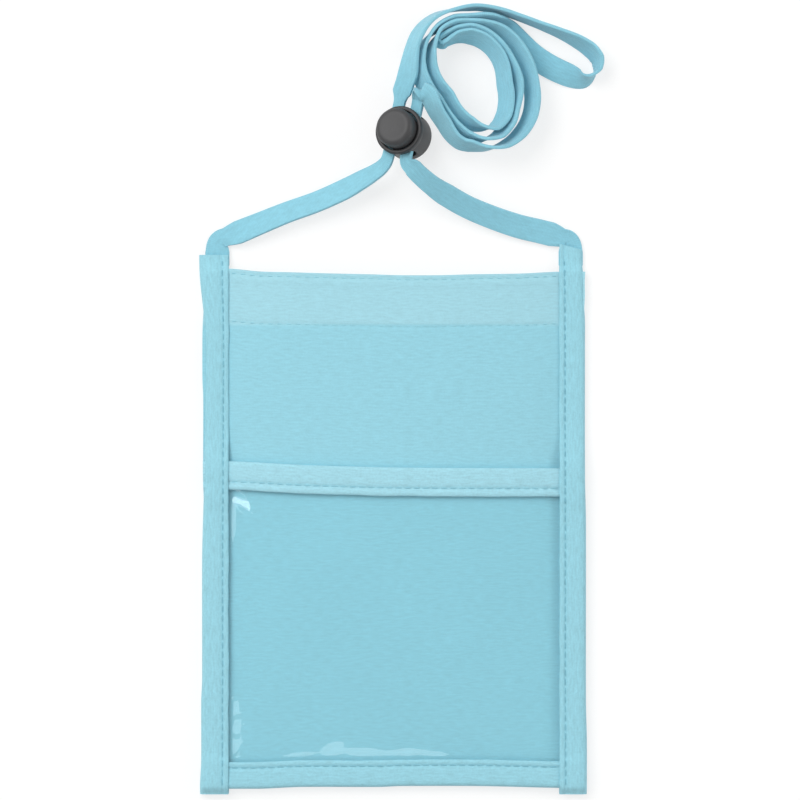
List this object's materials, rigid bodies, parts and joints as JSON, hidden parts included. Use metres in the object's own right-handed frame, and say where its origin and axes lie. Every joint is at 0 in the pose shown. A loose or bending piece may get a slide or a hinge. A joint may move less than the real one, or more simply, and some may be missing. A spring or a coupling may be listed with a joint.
{
  "type": "neck wallet",
  "caption": "Flat fabric neck wallet with an open top, a clear window pocket, tape-bound edges, and a flat neck strap gathered through a push-button cord lock.",
  "frame": {"origin": "under the middle of the pouch as it lies on its back, the strap left out", "axes": "+Y along the pouch towards its open top, +Z out of the window side, +X to the right as the window is seen"},
  "size_m": [0.1327, 0.2618, 0.0217],
  "materials": {
    "panel_fabric": "fine plain weave, light aqua blue",
    "binding_tape": "folded woven tape, light aqua blue",
    "strap_webbing": "flat narrow webbing, aqua blue",
    "clear_film": "clear flexible film, glossy",
    "lock_plastic": "black moulded plastic, satin",
    "spring_steel": "drawn wire"
  },
  "bodies": {
    "pouch": {"back_panel": "panel_fabric", "front_panel": "panel_fabric", "window_film": "clear_film", "window_tape": "binding_tape", "bottom_tape": "binding_tape", "left_tape": "binding_tape", "right_tape": "binding_tape", "strap_tab_left": "strap_webbing", "strap_tab_right": "strap_webbing"},
    "strap": {"strap_left": "strap_webbing", "strap_end_loop": "strap_webbing", "strap_coil": "strap_webbing", "strap_right": "strap_webbing"},
    "lock": {"lock_barrel": "lock_plastic", "lock_spring": "spring_steel"},
    "plunger": {"lock_plunger": "lock_plastic"}
  },
  "joints": [
    {"name": "strap_fold", "type": "hinge", "parent": "pouch", "child": "strap", "pos_m": [0, 0.0908, 0.0011], "axis": [1, 0, 0], "range_deg": [0, 105]},
    {"name": "lock_slide", "type": "slide", "parent": "strap", "child": "lock", "axis": [0.2058, 0.971, -0.1221], "range_m": [0, 0.002]},
    {"name": "plunger_press", "type": "slide", "parent": "lock", "child": "plunger", "axis": [0.3589, -0.1909, -0.9137], "range_m": [0, 0.0024], "stiffness_N_per_m": 500, "springref_m": -0.001, "deforming": ["lock_spring"]}
  ]
}
